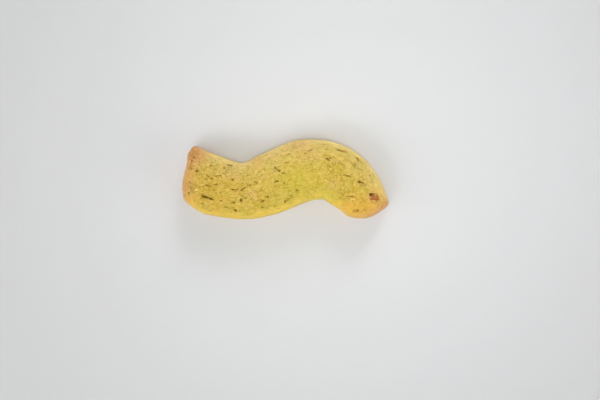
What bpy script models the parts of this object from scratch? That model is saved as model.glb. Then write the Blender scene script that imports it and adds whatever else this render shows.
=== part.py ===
"""Pistachio cookie: a short rope of pistachio shortbread, cut at a slant, bent into a lazy S and baked.

The frame's origin is the centre of the footprint on the baking sheet, +X runs along the cookie and +Z is up.
Everything below is stated in millimetres, and MM turns it into metres where a mesh is made.
"""

import math
import random
from typing import NamedTuple

import bmesh
import bpy
from mathutils import Matrix, Vector, noise
from mathutils.bvhtree import BVHTree

MM = 0.001


class Station(NamedTuple):
    """The middle of the rope seen from above, with its half width at the waist and its height there."""

    x: float
    y: float
    half_width: float
    height: float


class RopeEnd(NamedTuple):
    """How a cut end rounds off: over what length, how squarely on each side, and how far the cut leans."""

    length: float
    squareness_left: float
    squareness_right: float
    slant: float


class Pore(NamedTuple):
    """A slit that opened in the crust: where it lies from above, how long it is and how it is turned."""

    x: float
    y: float
    length: float
    turn_deg: float


class Chip(NamedTuple):
    """A crushed piece of pistachio that stands a little proud of the crust."""

    x: float
    y: float
    length: float
    width: float
    turn_deg: float


# The rope, from its blunt end at -X to its pointed end at +X.
ROPE = (
    Station(-35.5, 3.2, 8.7, 11.4),
    Station(-26.1, -1.8, 10.5, 12.9),
    Station(-15.7, -4.1, 9.8, 13.4),
    Station(-5.6, -1.9, 10.6, 13.8),
    Station(5.6, 2.8, 10.9, 13.8),
    Station(16.0, 2.7, 10.2, 13.4),
    Station(23.9, -2.7, 9.6, 12.6),
    Station(31.4, -12.7, 6.6, 10.2),
)
BLUNT_END = RopeEnd(3.1, 2.8, 2.1, -0.32)
POINTED_END = RopeEnd(5.1, 4.1, 1.7, -0.08)
SLANT_REACH = 9.0
END_WALL_SQUARENESS = 2.6

# The cross-section: a low dome over a waist, and a foot that the baking sheet pressed flat.
WAIST_SHARE = 0.33
DOME_SQUARENESS = 2.25
FOOT_SQUARENESS = 3.4
FOOT_PRESSED = 1.5

# The mesh of the crust.
STEPS_PER_STATION = 60
RING_SPACING = 0.95
CAP_RINGS = 6
DOME_POINTS = 27
FOOT_POINTS = 9
SHARP_EDGE_DEG = 50.0

# Unevenness of the dough, as (width of a lump, height of a lump), and how much of it the sides have.
LUMPS = ((11.0, 0.62), (4.2, 0.42), (2.1, 0.26))
LUMPS_ON_SIDES = 0.40
CALM_BAND = (0.05, 1.6)

# The dough was pinched out a little where the knife left it: place, reach and push towards the outside.
PINCHES = (
    (Vector((-34.7, 8.9)), 1.2, 0.60),
    (Vector((-31.6, 11.0)), 1.6, 0.30),
    (Vector((35.8, -8.4)), 1.9, 0.45),
    (Vector((-9.8, 7.6)), 1.8, 0.35),
)

# The slits that stand out, as they lie on the crust.
LARGE_PORES = (
    Pore(-26.8, -6.7, 4.2, -12.0),
    Pore(-19.2, 4.7, 2.2, -15.0),
    Pore(-14.6, -3.8, 2.3, 33.0),
    Pore(-15.1, -7.7, 1.4, 80.0),
    Pore(-17.1, -11.2, 1.3, -40.0),
    Pore(-30.5, 2.6, 1.5, -20.0),
    Pore(-26.2, 0.2, 2.2, -28.0),
    Pore(-2.9, -1.3, 1.6, 8.0),
    Pore(-3.0, 3.7, 1.8, -68.0),
    Pore(0.7, -7.6, 2.9, 50.0),
    Pore(-7.8, -8.1, 2.2, 30.0),
    Pore(4.4, -4.3, 1.6, -35.0),
    Pore(8.8, 9.5, 2.4, 20.0),
    Pore(19.2, 9.6, 3.3, -13.0),
    Pore(15.2, 6.4, 2.4, -26.0),
    Pore(21.3, 1.0, 2.5, -16.0),
    Pore(26.5, -1.6, 2.6, -18.0),
    Pore(30.6, -6.0, 1.9, 10.0),
)
SMALL_PORES = 36
SMALL_PORE_LENGTH = (0.9, 1.9)
SMALL_PORE_WANDER_DEG = 35.0
PORE_SLENDERNESS = 0.36
PORE_WIDTH = (0.55, 1.0)
PORE_DEPTH = 0.62
PORE_SPACING = 2.8
PORE_UNEVENNESS = 0.10
LOWEST_PORE = 3.0
LEAST_FACE_AREA = 0.5

CHIPS = (
    Chip(31.9, -7.2, 2.6, 1.7, -35.0),
    Chip(24.9, -11.3, 1.9, 1.1, 10.0),
    Chip(17.2, -2.6, 1.8, 1.3, -70.0),
    Chip(-11.2, -6.0, 1.9, 1.1, -30.0),
    Chip(25.6, 6.5, 1.5, 1.0, -55.0),
)
CHIP_THICKNESS = 1.1
CHIP_PROUD = 0.28
CHIP_UNEVENNESS = 0.08
DROP_HEIGHT = 40.0
SEED = 11

CRUST_COLOUR = (0.63, 0.46, 0.10, 1.0)
CRUST_ROUGHNESS = 0.85


def clear_scene():
    """Start from an empty scene."""
    for old in list(bpy.data.objects):
        bpy.data.objects.remove(old, do_unlink=True)


def smoothstep(low, high, value):
    """0 below low, 1 above high, and an even rise between."""
    share = min(1.0, max(0.0, (value - low) / (high - low)))
    return share * share * (3.0 - 2.0 * share)


def along_rope(place):
    """The station at a place counted in stations, 0 to len(ROPE) - 1, and the rope's direction there."""
    first = min(int(place), len(ROPE) - 2)
    t = place - first
    rows = [Vector(station) for station in ROPE]
    before, after = rows[0] * 2 - rows[1], rows[-1] * 2 - rows[-2]
    a, b, c, d = [before, *rows, after][first:first + 4]
    bend, twist = 2 * a - 5 * b + 4 * c - d, 3 * (b - c) + d - a
    station = b + 0.5 * t * ((c - a) + t * (bend + t * twist))
    slope = 0.5 * (c - a) + t * bend + 1.5 * t * t * twist
    return Station(*station), Vector(slope[:2]).normalized()


def arc_table():
    """Pairs of (distance run, place in stations) down the middle of the rope."""
    steps = STEPS_PER_STATION * (len(ROPE) - 1)
    table, run, last = [], 0.0, None
    for step in range(steps + 1):
        place = step / STEPS_PER_STATION
        station, _ = along_rope(place)
        here = Vector(station[:2])
        run += (here - last).length if last else 0.0
        table.append((run, place))
        last = here
    return table


def place_at(table, distance):
    """The place, in stations, at a distance down the middle of the rope."""
    for (run_a, place_a), (run_b, place_b) in zip(table, table[1:]):
        if distance <= run_b:
            return place_a + (place_b - place_a) * (distance - run_a) / (run_b - run_a)
    return table[-1][1]


def rounding(distance, end, squareness):
    """How much of its full size the rope has at a distance from its end."""
    short = min(1.0, max(0.0, 1.0 - distance / end.length))
    return (1.0 - short ** squareness) ** (1.0 / squareness)


def side_squareness(end, across):
    """How squarely an end rounds off on the side that a point lies on."""
    return end.squareness_left if across >= 0.0 else end.squareness_right


def section_point(angle):
    """A point of the unit cross-section as (across, up), with up below 0 under the waist."""
    c, s = math.cos(angle), math.sin(angle)
    squareness = DOME_SQUARENESS if s >= 0.0 else FOOT_SQUARENESS
    across = math.copysign(abs(c) ** (2.0 / squareness), c)
    return across, math.copysign(abs(s) ** (2.0 / squareness), s)


def crust_point(table, distance, angle):
    """The point of the smooth rope at a distance along it and an angle round its cross-section."""
    length = table[-1][0]
    rest = length - distance
    station, forward = along_rope(place_at(table, distance))
    leftward = Vector((-forward.y, forward.x))
    across, up = section_point(angle)
    narrowed = (
        rounding(distance, BLUNT_END, side_squareness(BLUNT_END, across))
        * rounding(rest, POINTED_END, side_squareness(POINTED_END, across))
    )
    lowered = (
        rounding(distance, BLUNT_END, END_WALL_SQUARENESS)
        * rounding(rest, POINTED_END, END_WALL_SQUARENESS)
    )
    slant = (
        BLUNT_END.slant * math.exp(-(distance / SLANT_REACH) ** 2)
        - POINTED_END.slant * math.exp(-(rest / SLANT_REACH) ** 2)
    )
    reach = across * narrowed * station.half_width
    flat = Vector((station.x, station.y)) + leftward * reach + forward * (slant * reach)
    waist = WAIST_SHARE * station.height
    rise = (station.height - waist) if up >= 0.0 else (waist + FOOT_PRESSED)
    return Vector((flat.x, flat.y, max(0.0, waist + lowered * up * rise)))


def uneven(point, outward):
    """The point pushed in or out by the lumps of the dough and by its pinched tips; the foot stays flat."""
    calm = smoothstep(*CALM_BAND, point.z)
    lump = sum(height * noise.noise(point / width) for width, height in LUMPS)
    share = LUMPS_ON_SIDES + (1.0 - LUMPS_ON_SIDES) * max(0.0, outward.z)
    pushed = point + outward * (lump * share * calm)
    sideways = Vector((outward.x, outward.y, 0.0))
    if sideways.length > 0.0:
        sideways.normalize()
    for centre, reach, push in PINCHES:
        near = math.exp(-((point.xy - centre).length / reach) ** 2)
        pushed += sideways * (push * near * calm)
    return pushed


def ring_distances(length):
    """Where the rings stand along the rope: even in the middle, and closer towards both ends."""
    def cap(end):
        quarter = 0.5 * math.pi
        return [end.length * (1.0 - math.cos(quarter * k / CAP_RINGS)) for k in range(CAP_RINGS + 1)]

    start, finish = cap(BLUNT_END), [length - d for d in reversed(cap(POINTED_END))]
    gap = finish[0] - start[-1]
    count = max(1, round(gap / RING_SPACING))
    middle = [start[-1] + gap * k / count for k in range(1, count)]
    return start + middle + finish


def section_angles():
    """Angles round the cross-section: many over the dome, few under the foot."""
    dome = [math.pi * k / (DOME_POINTS - 1) for k in range(DOME_POINTS)]
    foot = [math.pi + math.pi * k / (FOOT_POINTS + 1) for k in range(1, FOOT_POINTS + 1)]
    return dome + foot


def rope_mesh(name):
    """The crust as one closed skin of rings, each ring a cross-section of the rope."""
    table = arc_table()
    length = table[-1][0]
    distances = ring_distances(length)
    angles = section_angles()
    mesh = bmesh.new()

    def add(distance, angle):
        station, _ = along_rope(place_at(table, distance))
        point = crust_point(table, distance, angle)
        core = Vector((station.x, station.y, WAIST_SHARE * station.height))
        return mesh.verts.new(uneven(point, (point - core).normalized()) * MM)

    rings = [[add(d, a) for a in angles] for d in distances[1:-1]]
    for ring, following in zip(rings, rings[1:]):
        for k, start in enumerate(ring):
            n = (k + 1) % len(angles)
            mesh.faces.new((start, ring[n], following[n], following[k]))
    for ring, tip in ((rings[0], add(0.0, 0.0)), (rings[-1], add(length, 0.0))):
        for k, start in enumerate(ring):
            mesh.faces.new((start, ring[(k + 1) % len(angles)], tip))
    bmesh.ops.recalc_face_normals(mesh, faces=mesh.faces)
    data = bpy.data.meshes.new(name)
    mesh.to_mesh(data)
    mesh.free()
    return data


def frame_on(point, normal, direction):
    """A placement with +Z along the normal and +X as near to the direction as the surface lets it."""
    z = normal.normalized()
    x = (direction - z * direction.dot(z)).normalized()
    y = z.cross(x)
    turn = Matrix((x, y, z)).transposed().to_4x4()
    return Matrix.Translation(point) @ turn


def heading(turn_deg):
    """A level direction, turned from +X towards +Y."""
    turn = math.radians(turn_deg)
    return Vector((math.cos(turn), math.sin(turn), 0.0))


def rough_pebble(name, size, placement, rng, collection, unevenness):
    """A small uneven ellipsoid of the given size, in millimetres, put in a collection."""
    mesh = bmesh.new()
    bmesh.ops.create_icosphere(mesh, subdivisions=2, radius=0.5)
    for vert in mesh.verts:
        vert.co *= 1.0 + rng.uniform(-unevenness, unevenness)
    scale = Matrix.Diagonal((*size, 1.0 / MM)) * MM
    mesh.transform(placement @ scale)
    data = bpy.data.meshes.new(name)
    mesh.to_mesh(data)
    mesh.free()
    pebble = bpy.data.objects.new(name, data)
    pebble.hide_render = True
    pebble.display_type = "WIRE"
    collection.objects.link(pebble)
    return pebble


def dropped(tree, x, y):
    """The point of the crust straight under a place, and the crust's normal there."""
    above = Vector((x, y, DROP_HEIGHT)) * MM
    point, normal, _, _ = tree.ray_cast(above, Vector((0.0, 0.0, -1.0)))
    return point, normal


def large_pore_placements(tree):
    """Where the named slits go on the crust."""
    return [(*dropped(tree, pore.x, pore.y), heading(pore.turn_deg), pore.length) for pore in LARGE_PORES]


def small_pore_placements(data, taken, rng):
    """Further slits, drawn at random over the dome and sides, clear of each other and of the named ones."""
    faces = [
        face for face in data.polygons
        if face.center.z > LOWEST_PORE * MM and face.area > LEAST_FACE_AREA * MM * MM
    ]
    places = [point for point, _, _, _ in taken]
    placed = []
    while len(placed) < SMALL_PORES:
        face = rng.choice(faces)
        if any((face.center - place).length < PORE_SPACING * MM for place in places):
            continue
        first, second = (data.vertices[face.vertices[k]].co for k in (1, 2))
        along = (second - first).normalized()
        wander = math.radians(rng.uniform(-SMALL_PORE_WANDER_DEG, SMALL_PORE_WANDER_DEG))
        along.rotate(Matrix.Rotation(wander, 3, face.normal))
        places.append(face.center.copy())
        placed.append((face.center.copy(), face.normal.copy(), along, rng.uniform(*SMALL_PORE_LENGTH)))
    return placed


def make_pores(data, tree, rng, collection):
    """Boat-shaped cutters, sunk by half into the crust."""
    placed = large_pore_placements(tree)
    placed += small_pore_placements(data, placed, rng)
    for number, (point, normal, along, length) in enumerate(placed, start=1):
        narrowest, widest = PORE_WIDTH
        width = min(max(narrowest, PORE_SLENDERNESS * length), widest)
        size = (length, width, 2.0 * PORE_DEPTH)
        placement = frame_on(point, normal, along)
        rough_pebble(f"pore_{number:02d}", size, placement, rng, collection, PORE_UNEVENNESS)


def make_chips(tree, rng, collection):
    """Crushed pistachio, nearly all of each piece inside the crust."""
    for number, chip in enumerate(CHIPS, start=1):
        point, normal = dropped(tree, chip.x, chip.y)
        sunk = point - normal * (0.5 * CHIP_THICKNESS - CHIP_PROUD) * MM
        placement = frame_on(sunk, normal, heading(chip.turn_deg))
        size = (chip.length, chip.width, CHIP_THICKNESS)
        rough_pebble(f"chip_{number}", size, placement, rng, collection, CHIP_UNEVENNESS)


def join_or_cut(body, collection, operation):
    """Apply one Boolean of the whole collection to the body, then remove the collection's objects."""
    modifier = body.modifiers.new(collection.name, "BOOLEAN")
    modifier.operation = operation
    modifier.operand_type = "COLLECTION"
    modifier.collection = collection
    modifier.solver = "EXACT"
    bpy.context.view_layer.update()
    evaluated = body.evaluated_get(bpy.context.evaluated_depsgraph_get())
    result = bpy.data.meshes.new_from_object(evaluated)
    body.modifiers.clear()
    body.data = result
    for used in list(collection.objects):
        bpy.data.objects.remove(used, do_unlink=True)
    bpy.data.collections.remove(collection)


def new_collection(name):
    """A collection of the scene."""
    collection = bpy.data.collections.new(name)
    bpy.context.scene.collection.children.link(collection)
    return collection


def shortbread():
    """Matt baked shortbread, yellow-green from ground pistachio under a golden crust."""
    material = bpy.data.materials.new("pistachio_shortbread")
    material.use_nodes = True
    shader = material.node_tree.nodes["Principled BSDF"]
    shader.inputs["Base Color"].default_value = CRUST_COLOUR
    shader.inputs["Roughness"].default_value = CRUST_ROUGHNESS
    shader.inputs["Metallic"].default_value = 0.0
    return material


def centre_on_footprint(data):
    """Move the mesh so that the middle of its outline, seen from above, is the origin."""
    xs = [v.co.x for v in data.vertices]
    ys = [v.co.y for v in data.vertices]
    middle = Vector((max(xs) + min(xs), max(ys) + min(ys), 0.0)) / 2
    data.transform(Matrix.Translation(-middle))


def make_cookie():
    """The cookie: its crust with the pistachio fused on and the pores cut out."""
    rng = random.Random(SEED)
    data = rope_mesh("cookie")
    cookie = bpy.data.objects.new("cookie", data)
    new_collection("pistachio_cookie").objects.link(cookie)
    tree = BVHTree.FromPolygons(
        [v.co for v in data.vertices],
        [tuple(p.vertices) for p in data.polygons],
    )
    chips, pores = new_collection("pistachio_chips"), new_collection("pore_cutters")
    make_chips(tree, rng, chips)
    make_pores(data, tree, rng, pores)
    join_or_cut(cookie, chips, "UNION")
    join_or_cut(cookie, pores, "DIFFERENCE")
    centre_on_footprint(cookie.data)
    cookie.data.materials.clear()
    cookie.data.materials.append(shortbread())
    cookie.data.shade_smooth()
    cookie.data.set_sharp_from_angle(angle=math.radians(SHARP_EDGE_DEG))


clear_scene()
make_cookie()
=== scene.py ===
"""The looks of a pistachio cookie: its crust, its crushed nuts and loose crumbs, and a plain studio.

Lengths are written in millimetres. MM turns them into metres where a mesh, a lamp or a camera is made.
Colours are written as sRGB hex values, and linear() turns them into what a shader mixes.
"""

from __future__ import annotations

import logging
import math
import random
from collections.abc import Iterable
from dataclasses import dataclass
from enum import Enum
from functools import partial
from typing import Any, NamedTuple

import bmesh
import bpy
import numpy as np
from mathutils import Matrix, Vector, noise
from mathutils.kdtree import KDTree

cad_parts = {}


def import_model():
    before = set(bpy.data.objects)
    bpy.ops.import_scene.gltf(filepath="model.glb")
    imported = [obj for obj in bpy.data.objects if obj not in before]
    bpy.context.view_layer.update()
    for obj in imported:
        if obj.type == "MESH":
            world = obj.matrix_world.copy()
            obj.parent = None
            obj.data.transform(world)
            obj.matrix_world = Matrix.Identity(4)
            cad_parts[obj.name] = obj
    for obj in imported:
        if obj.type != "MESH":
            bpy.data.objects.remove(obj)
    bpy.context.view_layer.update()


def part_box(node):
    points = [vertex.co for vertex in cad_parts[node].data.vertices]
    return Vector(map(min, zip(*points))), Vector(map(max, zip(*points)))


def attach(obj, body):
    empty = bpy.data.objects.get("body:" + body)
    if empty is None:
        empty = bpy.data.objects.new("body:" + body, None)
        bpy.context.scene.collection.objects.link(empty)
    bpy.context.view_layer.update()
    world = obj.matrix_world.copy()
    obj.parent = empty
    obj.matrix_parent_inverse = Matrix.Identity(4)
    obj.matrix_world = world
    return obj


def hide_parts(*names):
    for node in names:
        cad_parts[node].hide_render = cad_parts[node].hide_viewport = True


MM = 0.001
NODE = "cookie"
BODY = "root"
PIXEL_MM = 0.353
IMAGE_SIZE = (600, 400)
COOKIE_PIXEL = (285.8, 179.3)

# Sockets of the Mix node when it mixes colours.
MIX_FACTOR, MIX_A, MIX_B, MIX_RESULT = 0, 6, 7, 2

# Sockets of the Random Value node: its seed, and the ends and the output of a plain number.
RANDOM_SEED, NUMBER_LOW, NUMBER_HIGH, NUMBER_RESULT = 8, 2, 3, 1

# How finely the rope's middle, its cross-section and its direction are followed.
ARC_SAMPLES, SECTION_SAMPLES, FLOW_SAMPLES = 2401, 6001, 400

# The crust's crown is where it faces up by at least this much.
CROWN_LEVEL = 0.40

log = logging.getLogger("pistachio_cookie")


def linear(hex_colour: str) -> tuple[float, float, float, float]:
    """Turn an sRGB hex colour into linear light.

    Args:
        hex_colour: Six hex digits after a hash, such as "#D0B552".

    Returns:
        Red, green, blue and an alpha of 1, as shader sockets take them.
    """
    shares = [int(hex_colour[i:i + 2], 16) / 255.0 for i in (1, 3, 5)]
    red, green, blue = (c / 12.92 if c <= 0.04045 else ((c + 0.055) / 1.055) ** 2.4 for c in shares)
    return red, green, blue, 1.0


def add_node(
    tree: bpy.types.NodeTree, kind: str, inputs: dict[str | int, Any] | None = None, **settings: Any
) -> bpy.types.Node:
    """Add a node with its settings, values and links.

    Args:
        tree: The shader or geometry tree that gets the node.
        kind: Blender's name of the node's type.
        inputs: What goes into its sockets, by name or number: a value, another node's output, or
            another node for its first output.
        **settings: The node's own properties by name.

    Returns:
        The new node.
    """
    node = tree.nodes.new(kind)
    for name, value in settings.items():
        setattr(node, name, value)
    for key, value in (inputs or {}).items():
        source = value.outputs[0] if isinstance(value, bpy.types.Node) else value
        if isinstance(source, bpy.types.NodeSocket):
            tree.links.new(source, node.inputs[key])
        else:
            node.inputs[key].default_value = source
    return node


class Part(NamedTuple):
    """A pattern by name, and how it counts: least where it is at low, and most where it is at high."""

    pattern: str
    low: float = 0.0
    high: float = 1.0
    least: float = 0.0
    most: float = 1.0


class Layer(NamedTuple):
    """A colour laid where all its parts are high. It may turn into a second colour where a part is."""

    colour: str
    parts: tuple[Part, ...]
    turned: str = ""
    turns_where: tuple[Part, ...] = ()


def lay_colours(
    tree: bpy.types.NodeTree, base: str, layers: Iterable[Layer], patterns: dict[str, bpy.types.NodeSocket]
) -> bpy.types.NodeSocket:
    """Lay colours over one another in a shader tree.

    Args:
        tree: The material's tree.
        base: The colour under all the layers.
        layers: The layers from the lowest up.
        patterns: The outputs that the layers' parts name.

    Returns:
        The output with the finished colour.
    """
    add = partial(add_node, tree)
    colour: Any = linear(base)
    for layer in layers:
        stretched = [
            add("ShaderNodeMapRange", {
                "Value": patterns[part.pattern], "From Min": part.low, "From Max": part.high,
                "To Min": part.least, "To Max": part.most,
            })
            for part in layer.parts + layer.turns_where
        ]
        over: Any = linear(layer.colour)
        if layer.turned:
            turns = {MIX_FACTOR: stretched.pop(), MIX_A: over, MIX_B: linear(layer.turned)}
            over = add("ShaderNodeMix", turns, data_type="RGBA").outputs[MIX_RESULT]
        share = stretched[0]
        for other in stretched[1:]:
            share = add("ShaderNodeMath", {0: share, 1: other}, operation="MULTIPLY")
        laid = {MIX_FACTOR: share, MIX_A: colour, MIX_B: over}
        colour = add("ShaderNodeMix", laid, data_type="RGBA").outputs[MIX_RESULT]
    return colour


def start_material(name: str, values: dict[str, Any]) -> tuple[bpy.types.Material, bpy.types.Node]:
    """Start a material.

    Args:
        name: What the material is.
        values: What its shader's own sockets are set to, by name.

    Returns:
        The material and its shader.
    """
    made = bpy.data.materials.new(name)
    made.use_nodes = True
    shader = made.node_tree.nodes["Principled BSDF"]
    for socket, value in values.items():
        shader.inputs[socket].default_value = value
    return made, shader


def smoothstep(low: float | np.ndarray, high: float | np.ndarray, value: np.ndarray) -> np.ndarray:
    """Give 0 below low, 1 above high, and an even rise between."""
    share = np.clip((value - low) / (high - low), 0.0, 1.0)
    return share * share * (3.0 - 2.0 * share)


def store(mesh: bpy.types.Mesh, name: str, values: np.ndarray) -> None:
    """Keep one number or one vector for each point of a mesh as a named attribute.

    Args:
        mesh: The mesh.
        name: The attribute's name.
        values: The numbers, or one row for each vector.
    """
    kind, key = ("FLOAT", "value") if values.ndim == 1 else ("FLOAT_VECTOR", "vector")
    attribute = mesh.attributes.new(name, kind, "POINT")
    attribute.data.foreach_set(key, values.astype(np.float32).ravel())


def read_vectors(mesh: bpy.types.Mesh, normals: bool = False) -> np.ndarray:
    """Read the points of a mesh, or its normals at them, as an array of one row each.

    Args:
        mesh: The mesh.
        normals: Whether its normals are read.

    Returns:
        One row of three for each point, in metres if not normals.
    """
    flat = np.empty(len(mesh.vertices) * 3, np.float32)
    if normals:
        mesh.vertex_normals.foreach_get("vector", flat)
    else:
        mesh.vertices.foreach_get("co", flat)
    return flat.reshape(-1, 3).astype(float)


def finder(points: np.ndarray, chosen: np.ndarray, from_above: bool = False) -> KDTree:
    """Sort the chosen points of a mesh for finding those near a place, or near it as seen from above.

    Args:
        points: The mesh's points.
        chosen: The numbers of those that can be found.
        from_above: Whether height counts for nothing.

    Returns:
        What finds their numbers.
    """
    tree = KDTree(len(chosen))
    for k, (x, y, z) in zip(chosen.tolist(), points[chosen].tolist()):
        tree.insert((x, y, 0.0 if from_above else z), k)
    tree.balance()
    return tree


def new_object(name: str, mesh: bpy.types.Mesh) -> bpy.types.Object:
    """Put a mesh in the scene as an object at the origin.

    Args:
        name: The object's name.
        mesh: Its mesh.

    Returns:
        The object.
    """
    made = bpy.data.objects.new(name, mesh)
    bpy.context.scene.collection.objects.link(made)
    return made


def open_tree(name: str, sizes: dict[str, float | int]) -> tuple[bpy.types.NodeTree, bpy.types.Node]:
    """Start a geometry tree with named inputs, the last of them a material, Finish.

    Args:
        name: The tree's name.
        sizes: The other inputs with their default values.

    Returns:
        The tree and its Group Input node.
    """
    tree = bpy.data.node_groups.new(name, "GeometryNodeTree")
    tree.interface.new_socket("Geometry", in_out="INPUT", socket_type="NodeSocketGeometry")
    tree.interface.new_socket("Geometry", in_out="OUTPUT", socket_type="NodeSocketGeometry")
    for label, value in sizes.items():
        kind = "NodeSocketInt" if isinstance(value, int) else "NodeSocketFloat"
        tree.interface.new_socket(label, in_out="INPUT", socket_type=kind).default_value = value
    tree.interface.new_socket("Finish", in_out="INPUT", socket_type="NodeSocketMaterial")
    return tree, tree.nodes.new("NodeGroupInput")


def close_tree(
    tree: bpy.types.NodeTree, given: bpy.types.Node, geometry: bpy.types.Node
) -> bpy.types.NodeTree:
    """End a geometry tree: make its instances real and dress them in its Finish.

    Args:
        tree: The tree.
        given: Its Group Input node.
        geometry: The node with what it made.

    Returns:
        The same tree.
    """
    realized = add_node(tree, "GeometryNodeRealizeInstances", {0: geometry})
    dressed = add_node(
        tree, "GeometryNodeSetMaterial", {"Geometry": realized, "Material": given.outputs["Finish"]}
    )
    add_node(tree, "NodeGroupOutput", {0: dressed})
    return tree


def grow(obj: bpy.types.Object, tree: bpy.types.NodeTree, finish: bpy.types.Material) -> bpy.types.Mesh:
    """Run a geometry tree on an object and keep the result as a plain mesh.

    Args:
        obj: The object whose mesh the tree starts from.
        tree: The geometry tree.
        finish: What its Finish is set to.

    Returns:
        The finished mesh. The object's own mesh and its modifiers are as before.
    """
    modifier = obj.modifiers.new(tree.name, "NODES")
    modifier.node_group = tree
    for item in tree.interface.items_tree:
        if item.name == "Finish":
            modifier[item.identifier] = finish
    bpy.context.view_layer.update()
    graph = bpy.context.evaluated_depsgraph_get()
    grown = bpy.data.meshes.new_from_object(
        obj.evaluated_get(graph), preserve_all_data_layers=True, depsgraph=graph
    )
    obj.modifiers.remove(modifier)
    return grown


class Station(NamedTuple):
    """The middle of the rope seen from above, with its half width at the waist and its height there."""

    x: float
    y: float
    half_width: float
    height: float


class RopeEnd(NamedTuple):
    """How a cut end rounds off: over what length, how squarely on each side, and how far the cut leans."""

    length: float
    squareness_left: float
    squareness_right: float
    slant: float


class Pinch(NamedTuple):
    """A place that the knife or the fingers pulled out, or in with a push below 0, and which way."""

    x: float
    y: float
    reach: float
    push: float
    turn_deg: float


class Spot(NamedTuple):
    """A patch of the crust, seen from above, with the strength of what it stands for."""

    x: float
    y: float
    reach: float
    strength: float


class Slit(NamedTuple):
    """A slit or pore in the crust: place from above, length, width, depth and how it is turned.

    A depth below 0 stands for the gap round a bit of nut of that length and width.
    """

    x: float
    y: float
    length: float
    width: float
    depth: float
    turn_deg: float


class NutKind(Enum):
    """What a bit of crushed pistachio or a lump of sugar shows to the eye."""

    FLESH = (0.0, 0.0, 0.0)
    SKIN = (1.0, 0.0, 0.0)
    DULL = (0.45, 0.55, 0.0)
    BROWNED = (0.0, 1.0, 0.0)
    SUGAR = (0.0, 0.0, 1.0)
    INNER = (0.0, 0.35, 0.30)


class NutBit(NamedTuple):
    """A bit of nut in the crust: place from above, length, width, turn, how far it stands out, and kind."""

    x: float
    y: float
    length: float
    width: float
    turn_deg: float
    proud: float
    kind: NutKind


# The slits and pores that stand out, each with its place, length, width, depth and turn.
SLITS = tuple(Slit(*row) for row in (
    (-27.0, -6.6, 4.4, 0.70, 0.74, -16.0), (-19.4, 4.9, 2.5, 0.98, 0.62, -15.0),
    (-14.8, -3.5, 2.6, 0.64, 0.56, 26.0), (-17.4, -3.7, 2.8, 0.40, 0.38, 2.0),
    (-26.6, -2.2, 4.2, 0.80, 0.14, 3.0), (-31.9, 7.5, 1.8, 0.50, 0.42, -32.0),
    (-32.4, 6.3, 1.0, 0.50, 0.36, -75.0), (-29.6, 5.8, 0.9, 0.60, 0.40, 0.0),
    (-33.6, 3.4, 0.8, 0.45, 0.32, -60.0), (-12.0, -2.1, 0.9, 0.70, 0.52, 0.0),
    (-15.3, -7.4, 1.3, 0.70, 0.54, 85.0), (-17.8, -8.4, 1.3, 0.55, 0.45, 20.0),
    (-17.3, -10.8, 1.2, 0.90, 0.66, -40.0), (-30.8, 2.9, 1.2, 0.80, 0.52, -20.0),
    (-33.2, -1.4, 0.8, 0.60, 0.38, 0.0), (-33.7, -4.9, 1.2, 0.60, 0.38, -50.0),
    (-25.8, 4.7, 0.9, 0.60, 0.38, 0.0), (-26.8, 0.9, 1.4, 0.50, 0.45, -35.0),
    (-25.4, 0.0, 1.4, 0.50, 0.45, -30.0), (-27.5, -0.1, 1.0, 0.50, 0.38, -30.0),
    (-23.2, 1.1, 3.2, 0.38, 0.44, 4.0), (-24.0, -2.1, 1.6, 0.50, 0.38, 30.0),
    (-18.4, -0.2, 1.0, 0.55, 0.34, 10.0), (-3.2, -1.0, 1.4, 0.74, 0.52, 10.0),
    (-3.4, 4.0, 1.2, 0.55, 0.50, -75.0), (-2.2, 2.8, 1.2, 0.60, 0.44, -20.0),
    (-0.5, 1.9, 0.8, 0.60, 0.45, 0.0), (0.5, -7.5, 2.8, 1.05, 0.78, 48.0),
    (-8.1, -7.8, 2.0, 0.64, 0.32, 28.0), (-6.1, -6.3, 1.3, 0.70, 0.52, 5.0),
    (4.1, -4.0, 1.2, 0.70, 0.46, -35.0), (8.5, 9.9, 2.2, 0.45, 0.45, 25.0),
    (7.0, 8.8, 1.3, 0.55, 0.52, 10.0), (18.9, 9.9, 3.4, 0.80, 0.60, -12.0),
    (15.6, 7.1, 1.0, 0.60, 0.44, 10.0), (14.6, 6.6, 1.9, 0.55, 0.46, -25.0),
    (25.2, 6.9, 1.5, 1.20, 0.62, -60.0), (21.2, 1.3, 2.4, 0.62, 0.60, -15.0),
    (26.0, -1.2, 2.4, 0.92, 0.62, -14.0), (30.0, -5.5, 2.2, 1.40, 0.76, 4.0),
    (32.2, -6.3, 1.6, 0.60, 0.50, -60.0), (22.3, -6.1, 3.4, 0.50, 0.36, 2.0),
    (24.6, -11.0, 2.0, 0.80, 0.45, 10.0), (0.4, 5.5, 1.7, 0.40, 0.30, 5.0),
    (8.8, 12.9, 1.5, 0.45, 0.30, -5.0), (13.6, 8.3, 1.0, 0.50, 0.38, 0.0),
    (1.0, 8.5, 1.8, 0.40, 0.30, 0.0), (-20.2, -9.8, 1.1, 0.60, 0.45, 0.0),
    (-22.2, -7.5, 1.2, 0.50, 0.30, 20.0), (-7.9, -9.8, 1.3, 0.50, 0.38, 15.0),
))

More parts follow.
